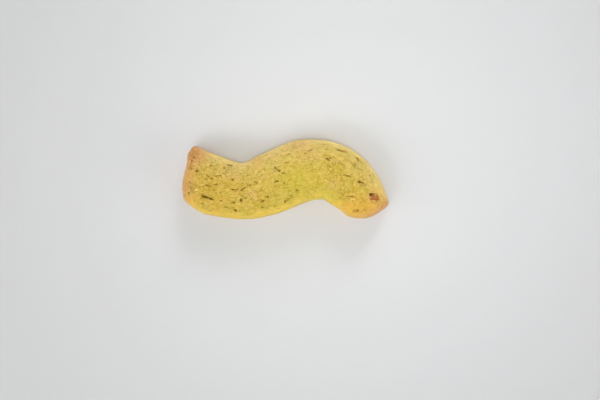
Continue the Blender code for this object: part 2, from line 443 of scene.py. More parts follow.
# The bits of nut and lumps of sugar that stand out: each one's place, length, width and turn, how proud
# it sits, and its kind.
NUT_BITS = tuple(NutBit(*row) for row in (
    (30.8, -6.8, 2.9, 2.9, -35.0, 0.16, NutKind.SKIN),
    (26.6, -1.9, 1.9, 0.9, -18.0, 0.02, NutKind.DULL),
    (20.1, 9.4, 2.0, 1.1, -12.0, 0.14, NutKind.BROWNED),
    (16.4, -2.2, 2.3, 1.7, -70.0, 0.10, NutKind.INNER),
    (24.4, -11.1, 1.9, 1.0, 12.0, 0.14, NutKind.BROWNED),
    (0.7, -7.3, 1.7, 0.8, 48.0, 0.02, NutKind.DULL),
    (-11.7, -5.7, 1.8, 1.1, -40.0, 0.04, NutKind.INNER),
    (25.5, 6.6, 1.4, 1.0, -60.0, 0.10, NutKind.BROWNED),
    (22.8, -7.4, 1.8, 0.9, 12.0, 0.05, NutKind.INNER),
    (-30.8, -3.8, 1.1, 0.9, 20.0, 0.20, NutKind.SUGAR),
    (-18.4, -12.0, 0.7, 0.6, 0.0, 0.18, NutKind.SUGAR),
    (-16.4, -11.6, 0.6, 0.5, 30.0, 0.18, NutKind.SUGAR),
    (-26.8, 4.7, 0.9, 0.7, 10.0, 0.12, NutKind.SUGAR),
    (7.9, 8.5, 2.2, 1.4, 15.0, 0.08, NutKind.INNER),
))


@dataclass
class Rope:
    """The bent rope of dough: its driving sizes, and the smooth skin that they give."""

    stations: tuple[Station, ...] = (
        Station(-35.5, 3.2, 8.7, 11.4),
        Station(-26.1, -1.8, 10.5, 12.9),
        Station(-15.7, -4.1, 9.8, 13.4),
        Station(-5.6, -1.9, 10.6, 13.8),
        Station(5.6, 2.8, 10.9, 13.8),
        Station(16.0, 2.7, 10.2, 13.4),
        Station(23.9, -2.7, 9.6, 12.6),
        Station(31.4, -12.7, 6.6, 10.2),
    )
    blunt: RopeEnd = RopeEnd(3.1, 2.8, 2.1, -0.32)
    pointed: RopeEnd = RopeEnd(5.1, 4.1, 1.7, -0.08)
    slant_reach: float = 9.0
    end_wall_squareness: float = 2.6
    waist_share: float = 0.33
    dome_squareness: float = 2.25
    foot_squareness: float = 3.4
    foot_pressed: float = 1.5
    lumps: tuple[tuple[float, float], ...] = ((11.0, 0.62), (4.2, 0.42), (2.1, 0.26))
    lumps_on_sides: float = 0.40
    calm_band: tuple[float, float] = (0.05, 1.6)
    pinches: tuple[Pinch, ...] = (
        Pinch(-34.9, 9.3, 0.9, 0.55, 165.0),
        Pinch(-35.4, 6.0, 1.6, -0.35, 175.0),
        Pinch(-36.0, 3.6, 3.2, -0.45, 180.0),
        Pinch(-31.6, 11.0, 1.6, 0.35, 105.0),
        Pinch(35.8, -8.4, 1.9, 0.35, -25.0),
        Pinch(-9.8, 7.6, 1.8, 0.35, 110.0),
    )
    spacing: float = 0.235
    cap_rings: int = 46
    base_coarseness: float = 4.0
    typical_half_width: float = 10.2
    typical_height: float = 13.4

    def along(self, place: np.ndarray) -> tuple[np.ndarray, np.ndarray]:
        """Follow the middle of the rope.

        Args:
            place: Places counted in stations, from 0 to the number of the last one.

        Returns:
            The stations there, one row of x, y, half width and height each, and the unit directions.
        """
        rows = np.array(self.stations, float)
        rows = np.vstack([2 * rows[0] - rows[1], rows, 2 * rows[-1] - rows[-2]])
        first = np.minimum(place.astype(int), len(self.stations) - 2)
        t = (place - first)[:, None]
        a, b, c, d = (rows[first + k] for k in range(4))
        bend, twist = 2 * a - 5 * b + 4 * c - d, 3 * (b - c) + d - a
        station = b + 0.5 * t * ((c - a) + t * (bend + t * twist))
        slope = (0.5 * (c - a) + t * bend + 1.5 * t * t * twist)[:, :2]
        return station, slope / np.linalg.norm(slope, axis=1, keepdims=True)

    def arc(self) -> tuple[np.ndarray, np.ndarray]:
        """Pair places, counted in stations, with the distance run down the middle of the rope.

        Returns:
            The places and the distances.
        """
        place = np.linspace(0.0, len(self.stations) - 1.0, ARC_SAMPLES)
        middle = self.along(place)[0][:, :2]
        steps = np.linalg.norm(np.diff(middle, axis=0), axis=1)
        return place, np.concatenate([[0.0], np.cumsum(steps)])

    def ring_distances(self, length: float) -> np.ndarray:
        """Say where the rings stand: evenly in the middle, and closer towards both ends.

        Args:
            length: The rope's length.

        Returns:
            The rings' distances from the blunt end.
        """
        turn = 0.5 * math.pi * np.arange(self.cap_rings + 1) / self.cap_rings
        start = self.blunt.length * (1.0 - np.cos(turn))
        finish = length - self.pointed.length * (1.0 - np.cos(turn[::-1]))
        count = round((finish[0] - start[-1]) / self.spacing)
        middle = np.linspace(start[-1], finish[0], count + 1)[1:-1]
        return np.concatenate([start, middle, finish])

    def unit_section(self, angle: np.ndarray) -> tuple[np.ndarray, np.ndarray]:
        """Give the unit cross-section as across and up, with up below 0 under the waist.

        Args:
            angle: Angles round the section.

        Returns:
            Across and up at them.
        """
        c, s = np.cos(angle), np.sin(angle)
        power = 2.0 / np.where(s >= 0.0, self.dome_squareness, self.foot_squareness)
        return np.sign(c) * np.abs(c) ** power, np.sign(s) * np.abs(s) ** power

    def section_angles(self) -> np.ndarray:
        """Space points evenly round a typical cross-section, further apart under the flat foot.

        Returns:
            The points' angles.
        """
        angle = np.linspace(0.0, 2.0 * math.pi, SECTION_SAMPLES)
        across, up = self.unit_section(angle)
        waist = self.waist_share * self.typical_height
        rise = np.where(up >= 0.0, self.typical_height - waist, waist + self.foot_pressed)
        height = np.maximum(0.0, waist + up * rise)
        steps = np.hypot(np.diff(across) * self.typical_half_width, np.diff(height))
        flat = (height[1:] + height[:-1]) == 0.0
        run = np.concatenate([[0.0], np.cumsum(np.where(flat, steps / self.base_coarseness, steps))])
        count = round(run[-1] / self.spacing)
        return np.interp(run[-1] * np.arange(count) / count, run, angle)

    @staticmethod
    def rounding(distance: np.ndarray, length: float, squareness: np.ndarray | float) -> np.ndarray:
        """Say how much of its full size the rope has at a distance from an end."""
        short = np.clip(1.0 - distance / length, 0.0, 1.0)
        return (1.0 - short ** squareness) ** (1.0 / squareness)

    def smooth_skin(self) -> tuple[np.ndarray, np.ndarray, np.ndarray, int]:
        """Loft the cross-section along the rope.

        Returns:
            The points in rings, the core that each point is pushed away from, the place of each point in
            the straightened rope (along, across, up), and the number of points in a ring.
        """
        place, run = self.arc()
        distance = self.ring_distances(run[-1])
        station, forward = self.along(np.interp(distance, run, place))
        across, up = self.unit_section(self.section_angles())
        s, rest = distance[:, None], run[-1] - distance[:, None]
        left = across >= 0.0
        at_blunt, at_point = (
            np.where(left, end.squareness_left, end.squareness_right)
            for end in (self.blunt, self.pointed)
        )
        narrowed = (
            self.rounding(s, self.blunt.length, at_blunt)
            * self.rounding(rest, self.pointed.length, at_point)
        )
        lowered = (
            self.rounding(s, self.blunt.length, self.end_wall_squareness)
            * self.rounding(rest, self.pointed.length, self.end_wall_squareness)
        )
        slant = (
            self.blunt.slant * np.exp(-(s / self.slant_reach) ** 2)
            - self.pointed.slant * np.exp(-(rest / self.slant_reach) ** 2)
        )
        reach = across * narrowed * station[:, 2:3]
        height = station[:, 3:4]
        waist = self.waist_share * height
        rise = np.where(up >= 0.0, height - waist, waist + self.foot_pressed)
        z = np.maximum(0.0, waist + lowered * up * rise)
        x = station[:, 0:1] - forward[:, 1:2] * reach + forward[:, 0:1] * slant * reach
        y = station[:, 1:2] + forward[:, 0:1] * reach + forward[:, 1:2] * slant * reach
        points = np.stack([x, y, z], axis=-1)
        core = np.concatenate([station[:, :2], waist], axis=1)[:, None, :] + np.zeros_like(points)
        flow = np.stack([s + 0.0 * reach, reach, z], axis=-1)
        return points.reshape(-1, 3), core.reshape(-1, 3), flow.reshape(-1, 3), len(across)

    def uneven(self, points: np.ndarray, core: np.ndarray) -> np.ndarray:
        """Push the smooth skin in and out by the lumps of the dough and by its pinched tips.

        Args:
            points: The smooth skin.
            core: For each point, the middle of the dough that it is pushed away from.

        Returns:
            The uneven skin. The foot stays flat.
        """
        outward = points - core
        outward /= np.maximum(np.linalg.norm(outward, axis=1, keepdims=True), 1e-9)
        calm = smoothstep(*self.calm_band, points[:, 2])
        lump = np.zeros(len(points))
        for width, height in self.lumps:
            lump += height * np.array([noise.noise(p) for p in (points / width).tolist()])
        share = self.lumps_on_sides + (1.0 - self.lumps_on_sides) * np.maximum(0.0, outward[:, 2])
        pushed = points + outward * (lump * share * calm)[:, None]
        for pinch in self.pinches:
            away = np.hypot(pushed[:, 0] - pinch.x, pushed[:, 1] - pinch.y)
            near = pinch.push * calm * np.exp(-(away / pinch.reach) ** 2)
            turn = math.radians(pinch.turn_deg)
            pushed += near[:, None] * (math.cos(turn), math.sin(turn), 0.0)
        return pushed

    def skin(self) -> tuple[bpy.types.Mesh, np.ndarray]:
        """Make the uneven skin as a closed mesh, fitted to the fixed frame.

        Returns:
            The mesh, in metres, and for each of its points its place in the straightened rope, in mm.
        """
        smooth, core, flow, around = self.smooth_skin()
        points = self.uneven(smooth, core)
        rings = len(points) // around
        keep = np.concatenate([[0], np.arange(around, len(points) - around), [len(points) - 1]])
        points, flow = points[keep], flow[keep]
        low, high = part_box(NODE)
        own = (points.max(axis=0) + points.min(axis=0)) / 2.0
        points[:, :2] += np.array((low + high) / 2.0)[:2] / MM - own[:2]
        start = 1 + np.arange(rings - 3)[:, None] * around
        k = np.arange(around)[None, :]
        n = (k + 1) % around
        quads = np.stack([start + k, start + n, start + around + n, start + around + k], axis=-1)
        last = len(points) - 1
        first_fan = [(0, 1 + (j + 1) % around, 1 + j) for j in range(around)]
        last_fan = [(last, last - around + j, last - around + (j + 1) % around) for j in range(around)]
        mesh = bpy.data.meshes.new("skin")
        mesh.from_pydata(points * MM, [], quads.reshape(-1, 4).tolist() + first_fan + last_fan)
        shape = bmesh.new()
        shape.from_mesh(mesh)
        bmesh.ops.recalc_face_normals(shape, faces=shape.faces)
        shape.to_mesh(mesh)
        shape.free()
        return mesh, flow


@dataclass(frozen=True)
class ShortbreadFinish:
    """Baked pistachio shortbread: a dry, matt, sandy crumb, yellow-green from ground nuts."""

    body: str = "#D3B84C"
    golden: str = "#DCB950"
    paste: str = "#D5C74B"
    blush: str = "#EAC57A"
    rim: str = "#F9D756"
    sheen_pale_rim: str = "#FFE38C"
    amber: str = "#EDBA50"
    cream: str = "#F4DC82"
    sheen_veil: str = "#FFE9B0"
    olive: str = "#B39728"
    wrinkle: str = "#A08010"
    toast_light: str = "#E8B270"
    toast_dark: str = "#CF9056"
    crevice_shade: str = "#805C00"
    underside: str = "#B98345"
    roughness: float = 0.82
    rim_roughness: float = 0.46
    specular: float = 0.22
    dusting: float = 0.02
    scatter: float = 0.25
    scatter_mm: float = 1.2
    mottle_mm: float = 4.2
    fine_mm: float = 0.90
    wrinkle_mm: tuple[float, float] = (1.5, 0.85)
    wrinkle_width: float = 0.030
    speck_mm: float = 0.85
    grit_mm: float = 0.22
    grit_height_mm: float = 0.10
    grain_draw: float = 0.70
    patch_noise: tuple[float, float] = (3.0, 0.6)
    grit_strength: float = 0.8

    def layers(self) -> list[Layer]:
        """List the colours that lie over the plain dough, from the broadest to the darkest.

        Returns:
            The layers, the lowest first.
        """
        layers = [
            # Broad mottling: some dough took more colour than its neighbour.
            Layer(self.golden, (Part("mottle", 0.40, 0.62),)),
            # Fine crumb, olive where a fine pattern is low and cream where it is high: the crumb's own
            # tone, together with painted shade between grains and painted light on their tops.
            Layer(self.olive, (Part("fine", 0.50, 0.30, 0.0, 0.56), Part("rim", 0.2, 1.0, 1.0, 0.5))),
            Layer(self.cream, (Part("fine", 0.50, 0.72, 0.0, 0.58),)),
            # The rounded flanks rolled on the board: golden. Where they face the lamp from +Y they turn
            # pale, a painted sheen.
            Layer(
                self.rim, (Part("rim"), Part("patch_0", 0.38, 0.60, 0.50, 0.90)),
                self.sheen_pale_rim, (Part("lee"),),
            ),
            # Ground pistachio shows green where it baked least. Butter and nut skins tint other parts.
            Layer(self.paste, (Part("paste"), Part("patch_1", 0.35, 0.60, 0.55, 1.25))),
            Layer(self.amber, (Part("amber"),)),
            Layer(self.blush, (Part("blush"), Part("patch_2", 0.38, 0.62, 0.35, 1.3))),
            # A pale veil on the side facing the lamp is more painted sheen.
            Layer(self.sheen_veil, (Part("lee", 0.45, 1.0, 0.0, 0.15),)),
            Layer(self.toast_light, (Part("browned", 0.04, 0.62, 0.0, 0.90),)),
            Layer(self.toast_dark, (Part("browned", 0.50, 1.10, 0.0, 0.85),)),
        ]
        # Hair-thin cracks are painted as dark lines of shade along the middle of a smooth pattern, in short
        # bent stretches.
        for number in range(len(self.wrinkle_mm)):
            layers.append(Layer(self.wrinkle, (
                Part(f"wrinkle_{number}", 0.0, self.wrinkle_width, 1.0, 0.0),
                Part(f"patch_{(number + 1) % 3}", 0.42, 0.58, 0.10, 0.62),
                Part("share", 0.38, 0.90), Part("rim", 0.0, 1.0, 1.0, 0.2),
            )))
        # Single specks of sugar and of green nut.
        for number, (tone, rare) in enumerate(((self.cream, 0.975), (self.olive, 0.97))):
            chosen = Part(f"speck_{number}", rare, rare + 0.02, 0.0, 0.75)
            layers.append(Layer(tone, (chosen, Part("from_speck", 0.42, 0.25))))
        # Slits, pores and cracks get a painted shade, darker the deeper they lie.
        return layers + [Layer(self.crevice_shade, (Part("cavity"),)), Layer(self.underside, (Part("under"),))]

    def material(self) -> bpy.types.Material:
        """Build the material.

        Returns:
            A material that reads the crust's own attributes for where it browned or stayed green, and for
            where it paints shade in its hollows and a pale sheen on the side facing the lamp.
        """
        # A dry crumb scatters the light, so it looks matt and soft. Its rolled flanks are smoother.
        made, shader = start_material("baked_pistachio_shortbread", {
            "Specular IOR Level": self.specular, "Sheen Weight": self.dusting, "Sheen Roughness": 0.5,
            "Subsurface Weight": self.scatter, "Subsurface Scale": self.scatter_mm * MM,
            "Subsurface Radius": (1.0, 0.6, 0.2),
        })
        tree = made.node_tree
        add = partial(add_node, tree)
        patterns = {
            name: add("ShaderNodeAttribute", attribute_name=name).outputs["Fac"]
            for name in ("toast", "paste", "blush", "amber", "rim", "lee", "share", "cavity", "under")
        }
        flow = add("ShaderNodeAttribute", attribute_name="flow").outputs["Vector"]
        place = add("ShaderNodeTexCoord").outputs["Object"]
        detail, roughness = self.patch_noise
        mottle = add("ShaderNodeTexNoise", {
            "Vector": flow, "Scale": 1.0 / self.mottle_mm, "Detail": detail, "Roughness": roughness,
        })
        patches = add("ShaderNodeSeparateColor", {0: mottle.outputs[1]})
        drawn_out = add(
            "ShaderNodeVectorMath", {0: flow, 1: (self.grain_draw, 1.0, 1.0)}, operation="MULTIPLY",
        )
        fine = add("ShaderNodeTexNoise", {
            "Vector": drawn_out, "Scale": 1.0 / self.fine_mm, "Detail": 1.6, "Roughness": 0.60,
            "Distortion": 0.8,
        })
        crumbled = add("ShaderNodeMapRange", {
            "Value": fine, "From Min": 0.32, "From Max": 0.68, "To Min": 1.38, "To Max": 0.66,
        })
        browned = add("ShaderNodeMath", {0: patterns["toast"], 1: crumbled}, operation="MULTIPLY")
        specks = add("ShaderNodeTexVoronoi", {"Vector": place, "Scale": 1.0 / (self.speck_mm * MM)})
        speck = add("ShaderNodeSeparateColor", {0: specks.outputs["Color"]})
        patterns |= {
            "mottle": mottle.outputs[0], "fine": fine.outputs[0], "browned": browned.outputs[0],
            "from_speck": specks.outputs["Distance"], "speck_0": speck.outputs[0],
            "speck_1": speck.outputs[1],
        }
        patterns |= {f"patch_{number}": patches.outputs[number] for number in range(3)}
        for number, width in enumerate(self.wrinkle_mm):
            field = add("ShaderNodeTexNoise", {
                "Vector": drawn_out, "W": 3.0 * number, "Scale": 1.0 / width, "Detail": 1.0,
                "Roughness": 0.5, "Distortion": 0.3,
            }, noise_dimensions="4D")
            past = add("ShaderNodeMath", {0: field, 1: 0.5}, operation="SUBTRACT")
            away = add("ShaderNodeMath", {0: past}, operation="ABSOLUTE")
            patterns[f"wrinkle_{number}"] = away.outputs[0]

        # Grit finer than the mesh. It is drawn at 0.22 mm, coarser than flour, so that it shows.
        grit = add("ShaderNodeTexNoise", {
            "Vector": place, "Scale": 1.0 / (self.grit_mm * MM), "Detail": 2.0, "Roughness": 0.7,
        })
        bump = add("ShaderNodeBump", {
            "Strength": self.grit_strength, "Distance": self.grit_height_mm * MM, "Height": grit,
        })
        rough = add("ShaderNodeMapRange", {
            "Value": patterns["rim"], "To Min": self.roughness, "To Max": self.rim_roughness,
        })
        tree.links.new(lay_colours(tree, self.body, self.layers(), patterns), shader.inputs["Base Color"])
        tree.links.new(rough.outputs[0], shader.inputs["Roughness"])
        tree.links.new(bump.outputs[0], shader.inputs["Normal"])
        return made


@dataclass
class Crust:
    """The cookie's body: the rope's skin with its slits, pores and crumb, and its colouring."""

    rope: Rope
    finish: ShortbreadFinish
    seed: int = 23
    small_slits: int = 155
    small_length: tuple[float, float] = (0.5, 1.6)
    small_width: tuple[float, float] = (0.30, 0.52)
    small_depth: tuple[float, float] = (0.08, 0.24)
    small_wander_deg: float = 55.0
    # Small slits are drawn where the crust faces up this much, and fewer where it is calm.
    small_level: float = 0.35
    calm_loss: float = 1.3
    # A slit's wall, its torn rim and the gap round a nut lie at these shares of its half size.
    slit_level: float = 0.15
    slit_margin: float = 1.0
    slit_slimming: float = 2.3
    slit_fullness: float = 1.35
    slit_wall: tuple[float, float] = (0.45, 1.25)
    least_pit: float = 0.02
    torn_rim: tuple[float, float, float] = (0.05, 1.6, 0.3)
    gap_depth: float = 0.17
    gap_ring: tuple[float, float] = (1.12, 0.20)
    torn_mm: tuple[tuple[float, float], ...] = ((1.0, 0.34), (0.45, 0.14))
    # The lamp side faces the lamp from +Y, and the finish paints a pale sheen on its rim. Bands give a
    # level, and how it shifts on the lamp side.
    lamp_side_facing: tuple[float, float] = (0.45, 0.9)
    lamp_side_band: tuple[float, float] = (-0.30, 0.50)
    rough_band: tuple[tuple[float, float], ...] = ((0.40, -0.30), (0.86, -0.26))
    rim_band: tuple[tuple[float, float], ...] = ((0.42, -0.12), (0.92, 0.03))
    # How much of the crumb's relief shows where it is calm, on the cut face and on the walls.
    calm_relief: float = 0.45
    cut_relief_reach: float = 4.2
    wall_band: tuple[float, float] = (0.05, 0.32)
    wall_relief: float = 0.85
    wall_rim_loss: float = 0.50
    wall_paste_loss: float = 0.60
    pit_rise: tuple[float, float] = (0.3, 1.5)
    relief_rise: tuple[float, float] = (0.1, 1.2)
    underside_rise: float = 0.9
    cut_browning: tuple[float, float] = (5.2, 0.62)
    tip_browning: tuple[float, float] = (2.6, 0.66)
    foot_browning: tuple[float, float] = (5.5, 0.50)
    toasted: tuple[Spot, ...] = (
        Spot(-33.0, 9.6, 4.0, 0.48), Spot(-28.5, 7.6, 2.6, 0.20), Spot(-34.6, -3.0, 3.0, 0.16),
        Spot(36.0, -8.0, 2.6, 0.30), Spot(30.3, -6.1, 1.8, 0.72), Spot(-10.0, 5.5, 2.4, 0.34),
        Spot(4.0, 12.5, 5.0, 0.20),
    )
    amber: tuple[Spot, ...] = (
        Spot(27.5, -11.8, 5.2, 0.85), Spot(21.5, -9.3, 3.0, 0.70), Spot(-32.5, -7.5, 4.0, 0.45),
        Spot(-22.0, -10.5, 5.0, 0.20), Spot(7.9, 8.6, 1.6, 0.60), Spot(33.0, -7.0, 4.0, 0.45),
    )
    calm: tuple[Spot, ...] = (
        Spot(8.0, -0.5, 6.5, 0.62), Spot(-3.5, 8.3, 6.5, 0.42), Spot(9.5, 12.0, 4.5, 0.30),
        Spot(-16.5, -12.5, 5.0, 0.35), Spot(-3.0, -9.5, 6.0, 0.45), Spot(17.0, -6.5, 4.0, 0.40),
        Spot(27.8, -10.3, 3.4, 0.75), Spot(-22.0, -10.0, 5.5, 0.50),
    )
    fresh: tuple[Spot, ...] = (
        Spot(7.0, 0.5, 6.5, 0.42), Spot(14.0, -6.3, 4.0, 0.65), Spot(2.0, -5.0, 5.0, 0.40),
        Spot(-3.0, 2.0, 6.0, 0.22), Spot(-15.0, -7.0, 6.0, 0.10),
    )
    blush: tuple[Spot, ...] = (
        Spot(-6.5, 1.8, 4.5, 0.28), Spot(-18.0, 0.5, 4.0, 0.20), Spot(-11.8, -5.5, 2.0, 0.55),
        Spot(16.8, -2.4, 1.8, 0.55), Spot(9.0, 8.2, 2.6, 0.42), Spot(-3.0, 10.0, 4.5, 0.45),
        Spot(6.0, 12.0, 4.0, 0.40),
    )

    def flow_turn(self, point: np.ndarray) -> float:
        """Say how the rope runs at a point, in radians from +X towards +Y.

        Args:
            point: The point, seen from above.

        Returns:
            The turn.
        """
        station, forward = self.rope.along(np.linspace(0.0, len(self.rope.stations) - 1.0, FLOW_SAMPLES))
        nearest = np.argmin(np.hypot(station[:, 0] - point[0], station[:, 1] - point[1]))
        return math.atan2(forward[nearest, 1], forward[nearest, 0])

    def all_slits(self, points: np.ndarray, normals: np.ndarray) -> list[Slit]:
        """List the slits that stand out and draw the small ones at random along the rope's grain.

        Args:
            points: The skin's points in mm.
            normals: The skin's normals at them.

        Returns:
            The slits, the named ones first.
        """
        rng = random.Random(self.seed)
        found = list(SLITS)
        found += [
            Slit(bit.x, bit.y, bit.length, bit.width, -self.gap_depth, bit.turn_deg)
            for bit in NUT_BITS
        ]
        crown = np.flatnonzero(normals[:, 2] > self.small_level)
        calm = self.spotted(points, self.calm)
        for _ in range(self.small_slits):
            spot = rng.choice(crown)
            if rng.random() < self.calm_loss * calm[spot]:
                continue
            x, y, _ = points[spot]
            turn = math.degrees(self.flow_turn(np.array([x, y])))
            length, width = rng.uniform(*self.small_length), rng.uniform(*self.small_width)
            depth = rng.uniform(*self.small_depth)
            wander = rng.uniform(-self.small_wander_deg, self.small_wander_deg)
            found.append(Slit(x, y, length, width, depth, turn + wander))
        return found

    def press_slits(self, points: np.ndarray, normals: np.ndarray) -> np.ndarray:
        """Work out how deep the slits and pores go at each point.

        Args:
            points: The skin's points in mm.
            normals: The skin's normals at them.

        Returns:
            The depth in mm at each point. Torn rims stand out a little, as a negative depth.
        """
        noise.seed_set(self.seed)
        torn = np.zeros_like(points)
        for size, reach in self.torn_mm:
            torn += reach * np.array([noise.noise_vector(p) for p in (points / size).tolist()])
        seen = finder(points, np.flatnonzero(normals[:, 2] > self.slit_level), from_above=True)
        near = finder(points, np.arange(len(points)))
        rim_height, rim_at, rim_width = self.torn_rim
        ring_at, ring_width = self.gap_ring
        depth = np.zeros(len(points))
        for slit in self.all_slits(points, normals):
            centre = seen.find((slit.x, slit.y, 0.0))[1]
            reach = 0.5 * slit.length + self.slit_margin
            hit = np.array([k for _, k, _ in near.find_range(points[centre].tolist(), reach)])
            turn = math.radians(slit.turn_deg)
            along = np.array([math.cos(turn), math.sin(turn), 0.0])
            along -= normals[centre] * (along @ normals[centre])
            along /= np.linalg.norm(along)
            across = np.cross(normals[centre], along)
            away = points[hit] + torn[hit] - points[centre]
            a, b = away @ along, away @ across
            out = np.hypot(2.0 * a / slit.length, self.slit_slimming * b / slit.width)
            if slit.depth > 0.0:
                pit = self.slit_fullness * slit.depth * (1.0 - smoothstep(*self.slit_wall, out))
            else:
                pit = -slit.depth * np.exp(-((out - ring_at) / ring_width) ** 2)
            rim = rim_height * np.exp(-((out - rim_at) / rim_width) ** 2)
            depth[hit] = np.where(pit > self.least_pit, np.maximum(depth[hit], pit), depth[hit] - rim)
        return depth

    def spotted(self, points: np.ndarray, spots: Iterable[Spot]) -> np.ndarray:
        """Add up how strongly each point lies in some patches, at most 1.

        Args:
            points: The points in mm.
            spots: The patches.

        Returns:
            The sum at each point.
        """
        total = np.zeros(len(points))
        for spot in spots:
            away = np.hypot(points[:, 0] - spot.x, points[:, 1] - spot.y)
            total += spot.strength * np.exp(-(away / spot.reach) ** 2)
        return np.clip(total, 0.0, 1.0)

    def relief_tree(self) -> bpy.types.NodeTree:
        """Build the tree that raises the clusters and grains of crumb and sinks the cracks and slits.

        Returns:
            A tree with named sizes in mm, which ends in Realize Instances and Set Material.
        """
        tree, given = open_tree("crumb_relief", {
            "Fold Height": 0.34, "Fold Width": 3.4, "Cluster Size": 1.5, "Cluster Height": 0.12,
            "Crack Size": 2.1, "Crack Depth": 0.20, "Crack Width": 0.036, "Grain Size": 0.66,
            "Grain Height": 0.10, "Grit Size": 0.48, "Grit Height": 0.08, "Stretch": 1.55, "Tear": 1.5,
            "Tears per mm": 0.85, "Openings per mm": 0.62,
        })
        add = partial(add_node, tree)
        flow = add("GeometryNodeInputNamedAttribute", {"Name": "flow"}, data_type="FLOAT_VECTOR")
        share, pit = (
            add("GeometryNodeInputNamedAttribute", {"Name": name}, data_type="FLOAT")
            for name in ("share", "pit")
        )
        place = add("GeometryNodeInputPosition")
        in_mm = add("ShaderNodeVectorMath", {0: place, "Scale": 1.0 / MM}, operation="SCALE")
        drawn_out = add("ShaderNodeCombineXYZ", {0: given.outputs["Stretch"], 1: 1.0, 2: 1.0})
        grained = add("ShaderNodeVectorMath", {0: flow, 1: drawn_out}, operation="DIVIDE")
        scales = {
            name: add("ShaderNodeMath", {0: 1.0, 1: given.outputs[name]}, operation="DIVIDE")
            for name in ("Fold Width", "Cluster Size", "Crack Size", "Grain Size", "Grit Size")
        }
        smooth = {"interpolation_type": "SMOOTHSTEP"}

        # Soft folds and dents, a few millimetres across.
        folds = add("ShaderNodeTexNoise", {"Vector": grained, "Scale": scales["Fold Width"], "Detail": 2.0})

        # Clusters of crumb: torn cells, each a little higher or lower than the next.
        tears = add("ShaderNodeTexNoise", {
            "Vector": grained, "Scale": given.outputs["Tears per mm"], "Detail": 2.0, "Roughness": 0.6,
        })
        pull = add("ShaderNodeVectorMath", {0: tears.outputs[1], 1: (0.5, 0.5, 0.5)}, operation="SUBTRACT")
        tear = add("ShaderNodeVectorMath", {0: pull, "Scale": given.outputs["Tear"]}, operation="SCALE")
        torn = add("ShaderNodeVectorMath", {0: grained, 1: tear}, operation="ADD")
        clusters = add("ShaderNodeTexVoronoi", {"Vector": torn, "Scale": scales["Cluster Size"]})
        steps = add("FunctionNodeSeparateColor", {0: clusters.outputs["Color"]})

        # Cracks bend along the lines where a smooth pattern passes its middle, for short stretches only.
        field = add("ShaderNodeTexNoise", {
            "Vector": grained, "Scale": scales["Crack Size"], "Detail": 2.0, "Roughness": 0.45,
            "Distortion": 0.5,
        })
        past = add("ShaderNodeMath", {0: field, 1: 0.5}, operation="SUBTRACT")
        away = add("ShaderNodeMath", {0: past}, operation="ABSOLUTE")
        line = add("ShaderNodeMapRange", {
            "Value": away, "From Max": given.outputs["Crack Width"], "To Min": 1.0, "To Max": 0.0,
        }, **smooth)
        opening = add("ShaderNodeTexNoise", {
            "Vector": flow, "Scale": given.outputs["Openings per mm"], "Detail": 2.0, "Roughness": 0.65,
        })
        opened = add("ShaderNodeMapRange", {"Value": opening, "From Min": 0.46, "From Max": 0.60}, **smooth)
        crack = add("ShaderNodeMath", {0: line, 1: opened}, operation="MULTIPLY")

        # Grains of sugar and ground nut, each a low bump, and grit between them.
        grain = add("ShaderNodeTexVoronoi", {"Vector": in_mm, "Scale": scales["Grain Size"]})
        stands = add("FunctionNodeSeparateColor", {0: grain.outputs["Color"]})
        bump = add("ShaderNodeMapRange", {
            "Value": grain.outputs["Distance"], "From Min": 0.10, "From Max": 0.72,
            "To Min": 1.0, "To Max": 0.0,
        }, **smooth)
        grains = add("ShaderNodeMath", {0: bump, 1: stands}, operation="MULTIPLY")
        grit = add("ShaderNodeTexNoise", {"Vector": in_mm, "Scale": scales["Grit Size"], "Detail": 1.0})

        # Each pattern swings about its middle by its height in mm, and cracks go down.
        height: Any = 0.0
        for pattern, middle, name, way in (
            (folds, 0.5, "Fold Height", 1.0), (steps, 0.5, "Cluster Height", 1.0),
            (crack, 0.0, "Crack Depth", -1.0), (grains, 0.0, "Grain Height", 1.0),
            (grit, 0.5, "Grit Height", 1.0),
        ):
            swing = add("ShaderNodeMath", {0: pattern, 1: middle}, operation="SUBTRACT")
            reach = add("ShaderNodeMath", {0: given.outputs[name], 1: way}, operation="MULTIPLY")
            height = add("ShaderNodeMath", {0: swing, 1: reach, 2: height}, operation="MULTIPLY_ADD")

        # The sides were rolled smooth, and the foot lies flat.
        shared = add("ShaderNodeMath", {0: height, 1: share}, operation="MULTIPLY")
        sunk = add("ShaderNodeMath", {0: shared, 1: pit}, operation="SUBTRACT")
        in_metres = add("ShaderNodeMath", {0: sunk, 1: MM}, operation="MULTIPLY")
        normal = add("GeometryNodeInputNormal")
        offset = add("ShaderNodeVectorMath", {0: normal, "Scale": in_metres}, operation="SCALE")
        raised = add("GeometryNodeSetPosition", {"Geometry": given.outputs["Geometry"], "Offset": offset})

        # What the finish reads to paint shade in the hollows: how far down in a slit, pore or crack a point
        # lies.
        down = add("ShaderNodeMapRange", {"Value": pit, "From Min": 0.03, "From Max": 0.42}, **smooth)
        cracked = add("ShaderNodeMath", {0: crack, 1: share}, operation="MULTIPLY")
        cavity = add(
            "ShaderNodeMath", {0: cracked, 1: 0.5, 2: down}, operation="MULTIPLY_ADD", use_clamp=True,
        )
        stored = add(
            "GeometryNodeStoreNamedAttribute", {"Geometry": raised, "Name": "cavity", "Value": cavity},
            data_type="FLOAT", domain="POINT",
        )
        return close_tree(tree, given, stored)

